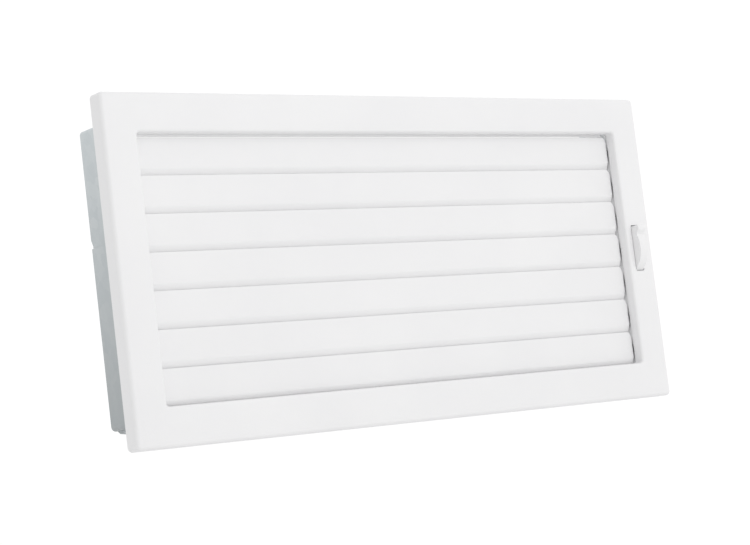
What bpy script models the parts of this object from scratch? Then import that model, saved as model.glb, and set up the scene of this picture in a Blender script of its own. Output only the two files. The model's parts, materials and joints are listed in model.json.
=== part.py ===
"""Louvred air grille, 22 x 45 cm, with an adjustable louvre and a galvanised wall sleeve.

Frame: metres, +Z up, +Y into the wall. The origin is the centre of the grille on the wall plane,
which is the back edge of the front flange's rim. The front face is at y = -FLANGE_DEPTH.
Lengths below are in millimetres; MM turns them into metres.
"""
import math

import bmesh
import bpy
from mathutils import Matrix, Vector

MM = 0.001
GAP = 0.3                    # clearance between pieces that touch
NEAR = 0.01                  # two places closer than this are the same place
MERGE = 0.00001              # metres; vertices closer than this become one
CUT = 1.0                    # how far a cutter runs past the sheet it cuts
SMOOTH_ANGLE = 40            # degrees; sharper bends are shown as creases

# Front flange: pressed steel with a returned rim outside and a reveal inside
FLANGE_WIDTH = 450.0
FLANGE_HEIGHT = 220.0
FLANGE_DEPTH = 12.0
FLANGE_SHEET = 1.0
FLANGE_CORNER_R = 3.2
FLANGE_EDGE_R = 2.8
OPENING_WIDTH = 402.0
OPENING_HEIGHT = 169.4
OPENING_CORNER_R = 2.0
OPENING_EDGE_R = 1.8
REVEAL_DEPTH = 8.0

# Lever slot in the right-hand flange
SLOT_X = (206.4, 214.4)
SLOT_Z = (-17.8, 15.8)
SLOT_R = 1.0

# Louvre
SLAT_COUNT = 7
SLAT_PITCH = 24.0
SLAT_SHEET = 0.8
PIVOT_Y = 1.6
PIVOT_Z = -1.0               # height of the middle slat's pivot
SLAT_FACE = -5.6             # the slat's front face, measured from its pivot along Y
SLAT_TOP = 11.7              # its upper edge, measured from its pivot along Z
SLAT_CURL_START = -7.0
SLAT_CURL_R = 4.5
SLAT_CURL_TURN = 25.0        # degrees; below this bend the slat runs on straight
SLAT_BOTTOM = -14.3
SLAT_END = 200.6             # outer face of the folded end
SLAT_FOLD_R = 1.4
TAB_TOP = 8.2
TAB_BACK = 12.0
TAB_BACK_Z = (-10.2, 0.0)
TAB_CORNER_R = 3.0
SLAT_CORNER_R = 3.2
CRANK_RADIUS = 9.0
CRANK_ANGLE = -33.0          # below the horizontal, behind the pivot

# Pivot studs and crank pins
STUD_R = 1.6
STUD_HEAD_R = 2.3
STUD_HEAD_INSET = 0.8        # keeps the inner head clear of the end fold
STUD_COLLAR_R = 2.8
PIN_R = 1.6
PIN_HEAD_R = 2.5
HEAD_THICKNESS = 0.8
ROUND_STEPS = 12

# Link bar between the slats' right-hand tabs and the side plate
BAR_THICKNESS = 1.0
BAR_WIDTH = 7.0
BAR_OVERHANG = 5.0           # beyond the outermost crank pins
BAR_END_R = 3.4
BAR_GAP = 0.3                # from the slat's tab to the bar

# Carrier behind the flange: two side plates and two rails
CARRIER_SHEET = 1.0
CARRIER_BEND_R = 1.6
SIDE_X = 204.3               # inner face of a side plate
SIDE_HALF_HEIGHT = 91.5
SIDE_BACK = 21.0
FOOT_LENGTH = 8.0            # welded feet, bent outwards against the flange's back
FOOT_Z = (30.0, 80.0)
FOOT_RELIEF = 0.5            # from the plate's outer face to the strip cut away between the feet
CARRIER_FRONT = -FLANGE_DEPTH + FLANGE_SHEET + GAP
RAIL_Z = 89.5                # inner face of a rail
RAIL_END = 203.5
TOP_RAIL_BACK = -2.7
TOP_LIP_BOTTOM = 83.2        # the top rail's lip closes the gap above the highest slat
LIP_NOTCH_X = (195.5, 200.0) # a notch in the lip, on the lever's side
LIP_NOTCH_DEPTH = 4.5
BOTTOM_RAIL_BACK = 12.0
BOTTOM_LIP_DROP = 3.0

# Leaf springs on the side plates
SPRING_SHEET = 0.5
SPRING_WIDTH = 12.0
SPRING_BASE_Y = (13.5, 20.0)
SPRING_FREE_Y = 2.0
SPRING_STEPS = 8
SPRING_Z = 60.0              # above and below the middle slat's pivot
SPRING_CLEARANCE = 0.4       # from the spring's crest to the sleeve's wall
SPRING_RIVET_Y = 16.9
SPRING_RIVET_R = 1.4
SPRING_RIVET_HEAD_R = 2.2

# Wall sleeve
SLEEVE_LEFT = -212.5
SLEEVE_RIGHT = 215.5         # wider on this side, where the lever swings
SLEEVE_HALF_HEIGHT = 95.0
SLEEVE_Y = (-9.3, 38.7)      # its front edge stands in the hollow behind the flange
SLEEVE_SHEET = 0.8
SLEEVE_CORNER_R = 3.0
LAP_Z = (8.0, 20.0)
LAP_RAMP = (21.5, 25.5)
LAP_RIVET_Y = (5.0, 13.0)
LAP_RIVET_R = 1.6
LAP_RIVET_HEAD_R = 2.8
ANCHOR_WIDTH = 12.0
ANCHOR_TIP = (22.0, 3.3)     # along Y, and how far it stands out of the wall
ANCHOR_KNEE = (34.5, 1.9)
ANCHOR_ROOT = (37.4, -0.1)   # sunk a little below the wall's surface
ANCHOR_LAP = 1.0             # how far the root runs on into the wall
ANCHOR_SLIT = 0.6            # the gap sheared round a tab
BOTTOM_ANCHOR_X = (-203.0, 203.0)
TOP_ANCHOR_X = (-70.0, 70.0)

# Thumb lever on the middle slat's shaft
LEVER_X = (206.7, 213.8)
LEVER_ARM_X = (206.7, 210.3)
LEVER_R = 20.5               # belly of the thumb piece, about the pivot
LEVER_BELLY = (24.0, -62.0)  # its angular range, degrees above the horizontal
LEVER_INNER_R = 13.5
LEVER_INNER_TOP = 44.0       # degrees; the upper end of the thumb piece's hollow side
NIB_CENTER = (18.5, 13.6)    # forward of the pivot and above it
NIB_R = 2.4
NIB_ARC = (90.0, -55.0)      # degrees, from its top to its underside
LEVER_TOP_BACK = (10.0, 15.9)
LEVER_NOTCH = (18.4, 9.4)    # between the nib and the belly
LEVER_HUB_R = 5.0
HUB_ARC = (75.0, 285.0)      # the rear of the hub, degrees
ARM_TIP_ARC = (-40.0, 34.0)  # where the arm runs into the thumb piece
SHAFT_SQUARE = 2.6
SHAFT_END = 211.4
RING_X = (210.6, 211.1)
RING_R = 4.2
RING_HOLE_R = 2.25


# ---------------------------------------------------------------- scene

def clear_scene():
    for obj in list(bpy.data.objects):
        bpy.data.objects.remove(obj)


def collection(name):
    made = bpy.data.collections.new(name)
    bpy.context.scene.collection.children.link(made)
    return made


def material(name, color, roughness, metallic):
    made = bpy.data.materials.new(name)
    made.use_nodes = True
    shader = made.node_tree.nodes["Principled BSDF"]
    shader.inputs["Base Color"].default_value = (*color, 1.0)
    shader.inputs["Roughness"].default_value = roughness
    shader.inputs["Metallic"].default_value = metallic
    return made


def add_object(name, mesh, where=None, mat=None, parent=None, location=(0.0, 0.0, 0.0)):
    """Put a mesh into the scene; location is in millimetres, relative to the parent."""
    obj = bpy.data.objects.new(name, mesh)
    (where or PARTS).objects.link(obj)
    if mat and not mesh.materials:
        mesh.materials.append(mat)
    obj.location = Vector(location) * MM
    obj.parent = parent
    return obj


def add_empty(name, location, parent=None):
    empty = bpy.data.objects.new(name, None)
    PARTS.objects.link(empty)
    empty.location = Vector(location) * MM
    empty.parent = parent
    return empty


def cutter(name, mesh):
    obj = add_object(name, mesh, where=CUTTERS)
    obj.hide_render = True
    obj.display_type = "WIRE"
    return obj


# ---------------------------------------------------------------- shapes

def smooth(mesh):
    mesh.shade_smooth()
    mesh.set_sharp_from_angle(angle=math.radians(SMOOTH_ANGLE))


def to_mesh(bm, name, shade_smooth=False):
    """Turn a bmesh in millimetres into a mesh in metres."""
    bmesh.ops.scale(bm, vec=(MM, MM, MM), verts=bm.verts)
    mesh = bpy.data.meshes.new(name)
    bm.to_mesh(mesh)
    bm.free()
    if shade_smooth:
        smooth(mesh)
    return mesh


def evaluated(obj):
    """The object's mesh with its modifiers applied; the object itself is removed."""
    bpy.context.view_layer.update()
    graph = bpy.context.evaluated_depsgraph_get()
    mesh = bpy.data.meshes.new_from_object(obj.evaluated_get(graph))
    name = obj.name
    bpy.data.batch_remove([obj.data, obj])
    mesh.name = name
    return mesh


def face_forward(bm):
    """Turn the faces so that the widest one looks out of the wall."""
    widest = max(bm.faces, key=lambda face: face.calc_area())
    if widest.normal.y > 0:
        bmesh.ops.reverse_faces(bm, faces=bm.faces)


def thicken(obj, thickness):
    """Give a surface its sheet thickness, behind the face it was drawn with."""
    solid = obj.modifiers.new("Sheet", "SOLIDIFY")
    solid.thickness = thickness * MM
    solid.offset = -1.0
    solid.use_even_offset = True


def arc(center, radius, start, end, steps):
    """Points on an arc, both ends included; angles are in degrees."""
    points = []
    for i in range(steps + 1):
        angle = math.radians(start + (end - start) * i / steps)
        points.append((center[0] + radius * math.cos(angle), center[1] + radius * math.sin(angle)))
    return points


def round_corners(points, radius, steps=3):
    """Replace each corner of a closed outline by an arc of the given radius."""
    rounded = []
    count = len(points)
    for i in range(count):
        corner = Vector(points[i])
        before = (Vector(points[i - 1]) - corner).normalized()
        after = (Vector(points[(i + 1) % count]) - corner).normalized()
        half = before.angle(after) / 2
        reach = radius / math.tan(half)
        center = corner + (before + after).normalized() * (radius / math.sin(half))
        start = corner + before * reach - center
        end = corner + after * reach - center
        for k in range(steps + 1):
            rounded.append(tuple(center + start.slerp(end, k / steps).normalized() * radius))
    return rounded


def round_path(points, radius, steps=3):
    """Replace each inner corner of an open path by an arc of the given radius."""
    count = steps + 1
    closed = round_corners(points, radius, steps)
    return [points[0]] + closed[count:-count] + [points[-1]]


def rectangle(u, v):
    return [(u[0], v[0]), (u[1], v[0]), (u[1], v[1]), (u[0], v[1])]


def circle(center, radius):
    return arc(center, radius, 0.0, 360.0, ROUND_STEPS)[:-1]


def plane_axes(plane):
    """The two axes of a plane and the axis across it, as unit vectors."""
    across = {"XZ": "Y", "XY": "Z", "YZ": "X"}[plane]
    return tuple(Vector([float(a == b) for b in "XYZ"]) for a in plane + across)


def plate_mesh(name, outlines, plane, span):
    """A flat plate in the given plane, reaching across span: the first outline less the others."""
    u_axis, v_axis, w_axis = plane_axes(plane)
    curve = bpy.data.curves.new(name, "CURVE")
    curve.dimensions = "2D"
    curve.fill_mode = "BOTH"
    curve.extrude = (span[1] - span[0]) / 2 * MM
    for outline in outlines:
        spline = curve.splines.new("POLY")
        spline.points.add(len(outline) - 1)
        for point, (u, v) in zip(spline.points, outline):
            point.co = (u * MM, v * MM, 0.0, 1.0)
        spline.use_cyclic_u = True
    mesh = evaluated(add_object(name, curve, where=CUTTERS))
    bm = bmesh.new()
    bm.from_mesh(mesh)
    bmesh.ops.remove_doubles(bm, verts=bm.verts, dist=MERGE)
    turn = Matrix((u_axis, v_axis, u_axis.cross(v_axis))).transposed()
    bmesh.ops.rotate(bm, cent=(0, 0, 0), matrix=turn, verts=bm.verts)
    middle = (span[0] + span[1]) / 2 * MM
    bmesh.ops.translate(bm, vec=w_axis * middle, verts=bm.verts)
    bm.to_mesh(mesh)
    bm.free()
    smooth(mesh)
    return mesh


def turned_mesh(name, profile):
    """A round piece turned about X: profile points (radius, x), from its far end back."""
    bm = bmesh.new()
    verts = [bm.verts.new((radius, 0.0, x)) for radius, x in profile]
    for first, second in zip(verts, verts[1:]):
        bm.edges.new((first, second))
    obj = add_object(name, to_mesh(bm, name), where=CUTTERS)
    screw = obj.modifiers.new("Turn", "SCREW")
    screw.axis = "Z"
    screw.steps = ROUND_STEPS
    screw.render_steps = ROUND_STEPS
    screw.use_merge_vertices = True
    screw.merge_threshold = MERGE
    mesh = evaluated(obj)
    mesh.transform(Matrix.Rotation(math.radians(90), 4, "Y"))
    smooth(mesh)
    return mesh


def rivet_mesh(name, low, high, shank_r, head_r):
    """A shank along X from low to high, with a flat head beyond each end."""
    profile = [
        (0.0, high + HEAD_THICKNESS),
        (head_r, high + HEAD_THICKNESS),
        (head_r, high),
        (shank_r, high),
        (shank_r, low),
        (head_r, low),
        (head_r, low - HEAD_THICKNESS),
        (0.0, low - HEAD_THICKNESS),
    ]
    return turned_mesh(name, profile)


def bent_sheet(name, path, plane, span, thickness):
    """A sheet bent along an open path in the given plane, reaching across span.

    The path runs with the sheet's outer face on its left; the thickness is added on its right.
    """
    u_axis, v_axis, w_axis = plane_axes(plane)
    bm = bmesh.new()
    verts = [bm.verts.new(u_axis * u + v_axis * v + w_axis * span[0]) for u, v in path]
    edges = [bm.edges.new(pair) for pair in zip(verts, verts[1:])]
    extruded = bmesh.ops.extrude_edge_only(bm, edges=edges)["geom"]
    moved = [item for item in extruded if isinstance(item, bmesh.types.BMVert)]
    bmesh.ops.translate(bm, vec=w_axis * (span[1] - span[0]), verts=moved)
    bm.normal_update()
    (u0, v0), (u1, v1) = path[:2]
    outside = u_axis * (v0 - v1) + v_axis * (u1 - u0)
    if edges[0].link_faces[0].normal.dot(outside) < 0:
        bmesh.ops.reverse_faces(bm, faces=bm.faces)
    obj = add_object(name, to_mesh(bm, name, True), where=CUTTERS)
    thicken(obj, thickness)
    return evaluated(obj)


def box_mesh(name, x, y, z):
    bm = bmesh.new()
    bmesh.ops.create_cube(bm, size=1.0)
    low = Vector((min(x), min(y), min(z)))
    high = Vector((max(x), max(y), max(z)))
    bmesh.ops.scale(bm, vec=high - low, verts=bm.verts)
    bmesh.ops.translate(bm, vec=(low + high) / 2, verts=bm.verts)
    return to_mesh(bm, name)


def rod_mesh(name, y, z, x_range, radius):
    """A plain round bar along X."""
    return plate_mesh(name, [circle((y, z), radius)], "YZ", x_range)


def combine(base, operation, *others):
    """Union or difference of meshes, each given as mesh data."""
    obj = add_object(base.name, base, where=CUTTERS)
    for other in others:
        tool = cutter(other.name + "_tool", other)
        step = obj.modifiers.new(operation.title(), "BOOLEAN")
        step.operation = operation
        step.solver = "EXACT"
        step.object = tool
    return evaluated(obj)


# ---------------------------------------------------------------- front flange

def outline_loop(bm, width, height, radius):
    """A closed loop of edges in the flange's face, with rounded corners."""
    outline = round_corners(rectangle((-width / 2, width / 2), (-height / 2, height / 2)), radius, 4)
    verts = [bm.verts.new((x, -FLANGE_DEPTH, z)) for x, z in outline]
    return [bm.edges.new((verts[i - 1], verts[i])) for i in range(len(verts))]


def fold_back(bm, edges, depth, bend_radius):
    """Extend the face backwards from a loop of its edges and round the bend."""
    extruded = bmesh.ops.extrude_edge_only(bm, edges=edges)["geom"]
    back = [item for item in extruded if isinstance(item, bmesh.types.BMVert)]
    bmesh.ops.translate(bm, vec=(0.0, depth, 0.0), verts=back)
    bmesh.ops.bevel(bm, geom=edges, offset=bend_radius, segments=4, profile=0.5, affect="EDGES")


def front_flange():
    """Pressed frame: a plain face with a returned rim, an inner reveal and the lever slot."""
    bm = bmesh.new()
    outer = outline_loop(bm, FLANGE_WIDTH, FLANGE_HEIGHT, FLANGE_CORNER_R)
    opening = outline_loop(bm, OPENING_WIDTH, OPENING_HEIGHT, OPENING_CORNER_R)
    bmesh.ops.bridge_loops(bm, edges=outer + opening)
    fold_back(bm, outer, FLANGE_DEPTH, FLANGE_EDGE_R)
    fold_back(bm, opening, REVEAL_DEPTH, OPENING_EDGE_R)
    bmesh.ops.recalc_face_normals(bm, faces=bm.faces)
    face_forward(bm)
    obj = add_object("front_flange", to_mesh(bm, "front_flange", True), mat=WHITE, parent=FRONT)
    thicken(obj, FLANGE_SHEET)
    slot = round_corners(rectangle(SLOT_X, SLOT_Z), SLOT_R)
    through = (-FLANGE_DEPTH - CUT, -FLANGE_DEPTH + FLANGE_SHEET + CUT)
    tool = cutter("slot_cutter", plate_mesh("slot_cutter", [slot], "XZ", through))
    cut = obj.modifiers.new("Slot", "BOOLEAN")
    cut.operation = "DIFFERENCE"
    cut.solver = "EXACT"
    cut.object = tool


# ---------------------------------------------------------------- carrier

def side_plate(side):
    """Upright plate with pivot holes and two feet; side is -1 on the left, 1 on the right."""
    name = "side_plate_right" if side > 0 else "side_plate_left"
    outer = SIDE_X + CARRIER_SHEET
    front = CARRIER_FRONT
    path = round_path([(outer + FOOT_LENGTH, front), (SIDE_X, front), (SIDE_X, SIDE_BACK)], CARRIER_BEND_R)
    path = [(side * x, y) for x, y in path][::side]
    mesh = bent_sheet(name, path, "XY", (-SIDE_HALF_HEIGHT, SIDE_HALF_HEIGHT), CARRIER_SHEET)
    x_range = sorted((side * (SIDE_X - CUT), side * (outer + CUT)))
    tools = [rod_mesh(f"{name}_pivot_{i}", PIVOT_Y, z, x_range, STUD_R + GAP) for i, z in pivots()]
    for z in (PIVOT_Z - SPRING_Z, PIVOT_Z + SPRING_Z):
        tools.append(rod_mesh(f"{name}_rivet", SPRING_RIVET_Y, z, x_range, SPRING_RIVET_R + GAP))
    beside = sorted((side * (outer + FOOT_RELIEF), side * (outer + FOOT_LENGTH + CUT)))
    through = (front - CUT, front + CARRIER_SHEET + CUT)
    low, high = FOOT_Z
    end = SIDE_HALF_HEIGHT + CUT
    for z_range in ((-end, -high), (-low, low), (high, end)):
        tools.append(box_mesh(f"{name}_relief", beside, through, z_range))
    add_object(name, combine(mesh, "DIFFERENCE", *tools), mat=WHITE, parent=FRONT)


def top_rail():
    """Z-section: a welded foot, a web behind the reveal and a lip behind the highest slat."""
    front = CARRIER_FRONT + CARRIER_SHEET
    outer = RAIL_Z + CARRIER_SHEET
    path = [(front, outer + FOOT_LENGTH), (front, outer), (TOP_RAIL_BACK, outer),
            (TOP_RAIL_BACK, TOP_LIP_BOTTOM)]
    path = round_path(path, CARRIER_BEND_R)
    mesh = bent_sheet("top_rail", path, "YZ", (-RAIL_END, RAIL_END), CARRIER_SHEET)
    depth = (TOP_RAIL_BACK - LIP_NOTCH_DEPTH, TOP_RAIL_BACK + CUT)
    notch = box_mesh("lip_notch", LIP_NOTCH_X, depth, (TOP_LIP_BOTTOM - CUT, outer + CUT))
    add_object("top_rail", combine(mesh, "DIFFERENCE", notch), mat=WHITE, parent=FRONT)


def bottom_rail():
    """A welded foot, a web below the lowest slat's sweep and a stiffening lip."""
    outer = RAIL_Z + CARRIER_SHEET
    path = [(CARRIER_FRONT, -outer - FOOT_LENGTH), (CARRIER_FRONT, -RAIL_Z), (BOTTOM_RAIL_BACK, -RAIL_Z),
            (BOTTOM_RAIL_BACK, -outer - BOTTOM_LIP_DROP)]
    path = round_path(path, CARRIER_BEND_R)
    mesh = bent_sheet("bottom_rail", path, "YZ", (-RAIL_END, RAIL_END), CARRIER_SHEET)
    add_object("bottom_rail", mesh, mat=WHITE, parent=FRONT)


def leaf_spring(side, row):
    """Bowed leaf that grips the sleeve's wall, with its rivet; row is -1 below, 1 above."""
    name = f"leaf_spring_{'right' if side > 0 else 'left'}_{'upper' if row > 0 else 'lower'}"
    wall = SLEEVE_RIGHT if side > 0 else -SLEEVE_LEFT
    base = SIDE_X + CARRIER_SHEET + GAP + SPRING_SHEET
    rise = wall - SLEEVE_SHEET - SPRING_CLEARANCE - base
    path = [(base, SPRING_BASE_Y[1])]
    for i in range(SPRING_STEPS + 1):
        along = i / SPRING_STEPS
        y = SPRING_BASE_Y[0] + (SPRING_FREE_Y - SPRING_BASE_Y[0]) * along
        path.append((base + rise * math.sin(math.pi * along) ** 2, y))
    path = [(side * x, y) for x, y in path][::side]
    z = PIVOT_Z + row * SPRING_Z
    span = (z - SPRING_WIDTH / 2, z + SPRING_WIDTH / 2)
    leaf = bent_sheet(name, path, "XY", span, SPRING_SHEET)
    x_range = sorted((side * (base + CUT), side * (base - SPRING_SHEET - CUT)))
    hole = rod_mesh(name + "_hole", SPRING_RIVET_Y, z, x_range, SPRING_RIVET_R + GAP)
    add_object(name, combine(leaf, "DIFFERENCE", hole), mat=SPRING_STEEL, parent=FRONT)
    shank = sorted((side * (base + GAP), side * (SIDE_X - GAP)))
    rivet = rivet_mesh(name.replace("leaf_spring", "spring_rivet"), *shank, SPRING_RIVET_R,
                       SPRING_RIVET_HEAD_R)
    add_object(rivet.name, rivet, mat=ZINC, parent=FRONT, location=(0.0, SPRING_RIVET_Y, z))


# ---------------------------------------------------------------- louvre

def pivots():
    """Number and height of each slat's pivot, from the top slat down."""
    middle = (SLAT_COUNT + 1) // 2
    return [(i, PIVOT_Z + SLAT_PITCH * (middle - i)) for i in range(1, SLAT_COUNT + 1)]


def crank_pin_offset():
    """The crank pin's place beside its pivot, as (y, z)."""
    angle = math.radians(CRANK_ANGLE)
    return CRANK_RADIUS * math.cos(angle), CRANK_RADIUS * math.sin(angle)


def slat_mesh():
    """One slat: flat face, curled lower edge, ends folded back into tabs with two holes each."""
    bm = bmesh.new()
    curl = arc((SLAT_FACE + SLAT_CURL_R, SLAT_CURL_START), SLAT_CURL_R, 180.0, 180.0 + SLAT_CURL_TURN, 4)
    bend_y, bend_z = curl[-1]
    curl.append((bend_y + (bend_z - SLAT_BOTTOM) * math.tan(math.radians(SLAT_CURL_TURN)), SLAT_BOTTOM))
    section = [(SLAT_FACE, SLAT_TOP), (SLAT_FACE, TAB_TOP)] + curl
    fold_x = SLAT_END - SLAT_FOLD_R
    verts = [bm.verts.new((0.0, y, z)) for y, z in section]
    edges = [bm.edges.new(pair) for pair in zip(verts, verts[1:])]
    extruded = bmesh.ops.extrude_edge_only(bm, edges=edges)["geom"]
    ends = [item for item in extruded if isinstance(item, bmesh.types.BMVert)]
    bmesh.ops.translate(bm, vec=(fold_x, 0.0, 0.0), verts=ends)
    top_corner = max(ends, key=lambda v: v.co.z)
    bottom_corner = min(ends, key=lambda v: v.co.z)

    folded = [e for e in bm.edges if all(v in ends and v.co.y < SLAT_FACE + NEAR for v in e.verts)
              and all(SLAT_CURL_START - NEAR < v.co.z < TAB_TOP + NEAR for v in e.verts)]
    spun = bmesh.ops.spin(bm, geom=folded, cent=(fold_x, SLAT_FACE + SLAT_FOLD_R, 0.0), axis=(0, 0, 1),
                          angle=math.radians(90), steps=4, use_duplicate=False)["geom_last"]
    last = [item for item in spun if isinstance(item, bmesh.types.BMEdge)]
    tab = bmesh.ops.extrude_edge_only(bm, edges=last)["geom"]
    back = sorted((item for item in tab if isinstance(item, bmesh.types.BMVert)), key=lambda v: v.co.z)
    for vert, z in zip(back, TAB_BACK_Z):
        vert.co.y = TAB_BACK
        vert.co.z = z
    for corner, radius in ((top_corner, SLAT_CORNER_R), (bottom_corner, SLAT_CORNER_R),
                           (back[0], TAB_CORNER_R), (back[1], TAB_CORNER_R)):
        bmesh.ops.bevel(bm, geom=[corner], offset=radius, segments=3, profile=0.5, affect="VERTICES")
    bmesh.ops.recalc_face_normals(bm, faces=bm.faces)
    face_forward(bm)
    obj = add_object("slat", to_mesh(bm, "slat", True), where=CUTTERS)
    mirror = obj.modifiers.new("Other half", "MIRROR")
    mirror.merge_threshold = MERGE
    thicken(obj, SLAT_SHEET)
    through = (-SLAT_END - CUT, SLAT_END + CUT)
    holes = [rod_mesh("slat_pivot_hole", 0.0, 0.0, through, STUD_R + GAP),
             rod_mesh("slat_crank_hole", *crank_pin_offset(), through, PIN_R + GAP)]
    return combine(evaluated(obj), "DIFFERENCE", *holes)


def stud_profile(outer_head):
    """Pivot stud, along X: a head inside the slat's tab, a collar and a shank in the side plate."""
    inside = SLAT_END - SLAT_SHEET - STUD_HEAD_INSET
    outside = SIDE_X + CARRIER_SHEET + GAP
    profile = [(STUD_R, SIDE_X - GAP), (STUD_COLLAR_R, SIDE_X - GAP), (STUD_COLLAR_R, SLAT_END + GAP),
               (STUD_R, SLAT_END + GAP), (STUD_R, inside), (STUD_HEAD_R, inside),
               (STUD_HEAD_R, inside - HEAD_THICKNESS), (0.0, inside - HEAD_THICKNESS)]
    if outer_head:
        end = outside + HEAD_THICKNESS
        return [(0.0, end), (STUD_HEAD_R, end), (STUD_HEAD_R, outside), (STUD_R, outside)] + profile
    return [(0.0, outside), (STUD_R, outside)] + profile


def link_bar(parent):
    """Flat bar that joins all the crank pins; its origin is the middle slat's crank pin."""
    half = BAR_WIDTH / 2
    reach = SLAT_PITCH * (SLAT_COUNT - 1) / 2 + BAR_OVERHANG
    outline = round_corners(rectangle((-half, half), (-reach, reach)), BAR_END_R, 4)
    holes = [circle((0.0, z - PIVOT_Z), PIN_R + GAP) for _, z in pivots()]
    low = SLAT_END + BAR_GAP
    mesh = plate_mesh("link_bar", [outline] + holes, "YZ", (low, low + BAR_THICKNESS))
    add_object("link_bar", mesh, mat=ZINC, parent=parent)


def thumb_lever(parent):
    """Lever on the middle slat's shaft: a keyed hub, an arm and a round thumb piece with a nib."""
    nib = arc(NIB_CENTER, NIB_R, *NIB_ARC, 6)
    belly = arc((0.0, 0.0), LEVER_R, *LEVER_BELLY, 10)
    inner = arc((0.0, 0.0), LEVER_INNER_R, LEVER_BELLY[1], LEVER_INNER_TOP, 6)
    outline = nib + [LEVER_NOTCH] + belly + inner + [LEVER_TOP_BACK]
    thumb = plate_mesh("lever_thumb", [[(-forward, z) for forward, z in outline]], "YZ", LEVER_X)
    outline = arc((0.0, 0.0), LEVER_HUB_R, *HUB_ARC, 8)
    outline += arc((0.0, 0.0), (LEVER_INNER_R + LEVER_R) / 2, *ARM_TIP_ARC, 4)
    key = SHAFT_SQUARE / 2 + GAP
    arm_outlines = [[(-forward, z) for forward, z in outline], rectangle((-key, key), (-key, key))]
    arm = plate_mesh("lever_arm", arm_outlines, "YZ", LEVER_ARM_X)
    mesh = combine(thumb, "UNION", arm)
    mesh.name = "thumb_lever"
    add_object("thumb_lever", mesh, mat=WHITE, parent=parent)


def drive_shaft(parent):
    """The middle slat's right-hand stud, drawn out to a square that carries the lever."""
    half = SHAFT_SQUARE / 2
    square = box_mesh("shaft_square", (SIDE_X + CARRIER_SHEET, SHAFT_END), (-half, half), (-half, half))
    mesh = combine(turned_mesh("drive_shaft", stud_profile(False)), "UNION", square)
    add_object("drive_shaft", mesh, mat=ZINC, parent=parent)
    ring = [circle((0.0, 0.0), RING_R), circle((0.0, 0.0), RING_HOLE_R)]
    add_object("lever_ring", plate_mesh("lever_ring", ring, "YZ", RING_X), mat=SPRING_STEEL, parent=parent)


def louvre():
    """Seven slats on their studs, the link bar that joins them and the lever."""
    slat = slat_mesh()
    stud = turned_mesh("pivot_stud", stud_profile(True))
    inside = SLAT_END - SLAT_SHEET - GAP
    outside = SLAT_END + BAR_GAP + BAR_THICKNESS + GAP
    pin = rivet_mesh("crank_pin", inside, outside, PIN_R, PIN_HEAD_R)
    middle = (SLAT_COUNT + 1) // 2
    for number, z in pivots():
        axle = add_empty(f"pivot_{number}", (0.0, PIVOT_Y, z), parent=FRONT)
        add_object(f"slat_{number}", slat, mat=WHITE, parent=axle)
        left = add_object(f"pivot_stud_left_{number}", stud, mat=ZINC, parent=axle)
        left.rotation_euler.z = math.radians(180)
        if number == middle:
            drive_shaft(axle)
            thumb_lever(axle)
            link_bar(add_empty("link_pivot", (0.0, *crank_pin_offset()), parent=axle))
        else:
            add_object(f"pivot_stud_right_{number}", stud, mat=ZINC, parent=axle)
        add_object(f"crank_pin_{number}", pin, mat=ZINC, parent=axle,
                   location=(0.0, *crank_pin_offset()))


# ---------------------------------------------------------------- wall sleeve

def anchor_tab(x, side):
    """A tongue bent out of the wall, its free end forward; side is -1 on the bottom wall, 1 on the top."""
    points = (ANCHOR_ROOT, ANCHOR_KNEE, ANCHOR_TIP)
    path = [(y, side * (SLEEVE_HALF_HEIGHT + out)) for y, out in points][::-side]
    span = (x - ANCHOR_WIDTH / 2, x + ANCHOR_WIDTH / 2)
    return bent_sheet("anchor_tab", path, "YZ", span, SLEEVE_SHEET)


def anchor_hole(x, side):
    """The cutter for the hole that a tongue leaves in the wall."""
    half = ANCHOR_WIDTH / 2 + ANCHOR_SLIT
    y = (ANCHOR_TIP[0] - ANCHOR_SLIT, ANCHOR_ROOT[0] - ANCHOR_LAP)
    z = (side * (SLEEVE_HALF_HEIGHT + CUT), side * (SLEEVE_HALF_HEIGHT - SLEEVE_SHEET - CUT))
    return box_mesh("anchor_hole", (x - half, x + half), y, z)


def wall_sleeve():
    """Rectangular sleeve of one bent strip, lapped and riveted on its left wall."""
    inset = SLEEVE_LEFT + SLEEVE_SHEET + GAP
    top = SLEEVE_HALF_HEIGHT
    corners = round_corners([(SLEEVE_LEFT, top), (SLEEVE_RIGHT, top), (SLEEVE_RIGHT, -top),
                             (SLEEVE_LEFT, -top)], SLEEVE_CORNER_R, 4)
    path = [(inset, LAP_Z[0]), (inset, LAP_RAMP[0]), (SLEEVE_LEFT, LAP_RAMP[1])] + corners
    path.append((SLEEVE_LEFT, LAP_Z[1]))
    sleeve = bent_sheet("wall_sleeve", path, "XZ", SLEEVE_Y, SLEEVE_SHEET)
    anchors = [(x, -1) for x in BOTTOM_ANCHOR_X] + [(x, 1) for x in TOP_ANCHOR_X]
    height = sum(LAP_Z) / 2
    x_range = (SLEEVE_LEFT - CUT, inset + SLEEVE_SHEET + CUT)
    cuts = [anchor_hole(x, side) for x, side in anchors]
    cuts += [rod_mesh("lap_hole", y, height, x_range, LAP_RIVET_R + GAP) for y in LAP_RIVET_Y]
    sleeve = combine(sleeve, "DIFFERENCE", *cuts)
    sleeve = combine(sleeve, "UNION", *[anchor_tab(x, side) for x, side in anchors])
    sleeve.name = "wall_sleeve"
    add_object("wall_sleeve", sleeve, mat=GALVANISED)
    rivet = rivet_mesh("lap_rivet", SLEEVE_LEFT - GAP, inset + SLEEVE_SHEET + GAP, LAP_RIVET_R,
                       LAP_RIVET_HEAD_R)
    for i, y in enumerate(LAP_RIVET_Y, 1):
        add_object(f"lap_rivet_{i}", rivet, mat=ZINC, location=(0.0, y, height))


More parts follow.
